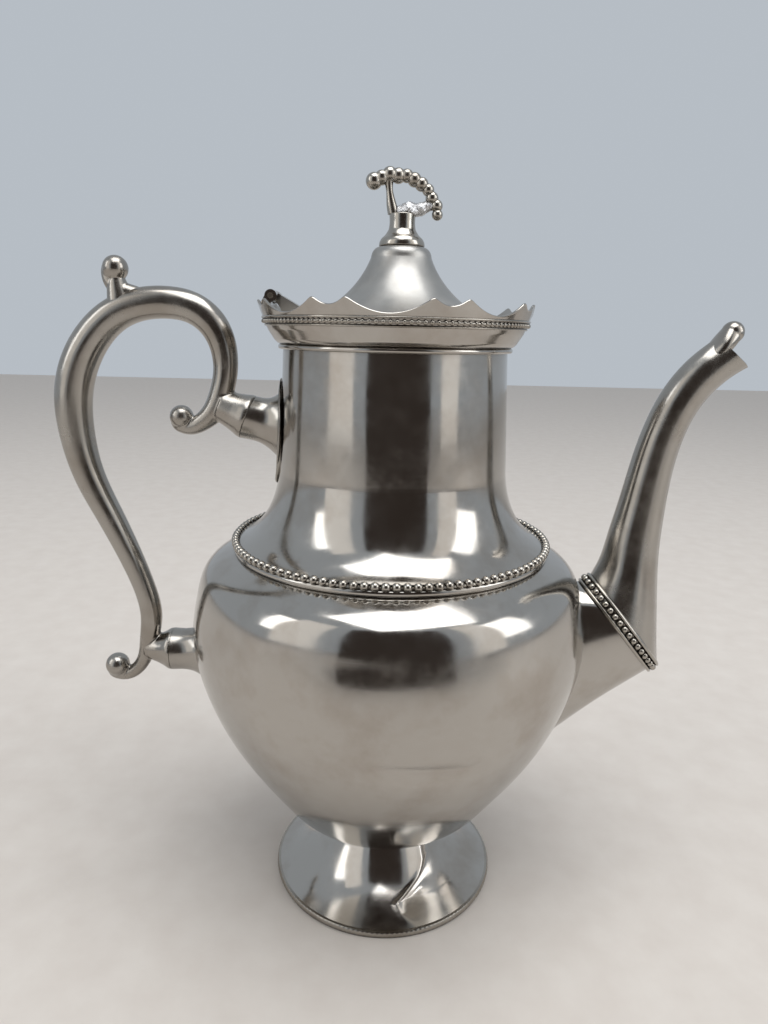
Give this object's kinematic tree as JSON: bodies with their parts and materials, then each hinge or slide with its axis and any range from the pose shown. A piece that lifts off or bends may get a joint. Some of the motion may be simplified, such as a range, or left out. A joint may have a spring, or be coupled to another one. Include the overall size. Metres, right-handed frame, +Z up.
{
  "type": "coffee pot",
  "caption": "Footed urn-bellied coffee pot with a tall neck, scalloped gallery, hinged bell lid, curved spout and scroll handle.",
  "frame": {"origin": "centre of the foot's circle, on the surface the pot stands on", "axes": "+Z up along the pot's turning axis, +X towards the spout, -X towards the handle"},
  "size_m": [0.2472, 0.148, 0.2707],
  "materials": {
    "polished_plate": "worn polished silver plate",
    "cast_plate": "cast and plated, softly polished",
    "dull_plate": "dull rubbed plate",
    "bead_plate": "plated beads with dark grime between them",
    "fittings": "turned metal",
    "solder": "rough bright solder"
  },
  "bodies": {
    "pot": {"foot": "polished_plate", "foot_rim_wire": "polished_plate", "foot_collar": "polished_plate", "belly_bowl": "polished_plate", "belly": "polished_plate", "belly_shoulder": "polished_plate", "shoulder_band": "polished_plate", "shoulder_bead_wire": "bead_plate", "neck": "polished_plate", "neck_moulding": "polished_plate", "gallery": "polished_plate", "gallery_bead_wire": "bead_plate", "lid_seat_ring": "polished_plate", "hinge_leaf": "polished_plate", "hinge_pin": "fittings", "spout": "cast_plate", "spout_bead_collar": "bead_plate", "spout_socket": "polished_plate", "handle": "cast_plate", "thumb_scroll": "cast_plate", "upper_socket_plate": "cast_plate", "upper_handle_socket": "cast_plate", "lower_handle_socket": "cast_plate"},
    "lid": {"lid": "dull_plate", "lid_bezel": "dull_plate", "lid_hinge_strap": "dull_plate", "finial_base": "bead_plate", "finial_stud": "fittings", "finial_nut": "fittings", "finial_bead_arch": "bead_plate", "finial_strut": "bead_plate", "finial_solder": "solder"}
  },
  "joints": [
    {"name": "lid_hinge", "type": "hinge", "parent": "pot", "child": "lid", "pos_m": [-0.0431, 0, 0.2284], "axis": [0, -1, 0], "range_deg": [0, 100]}
  ]
}
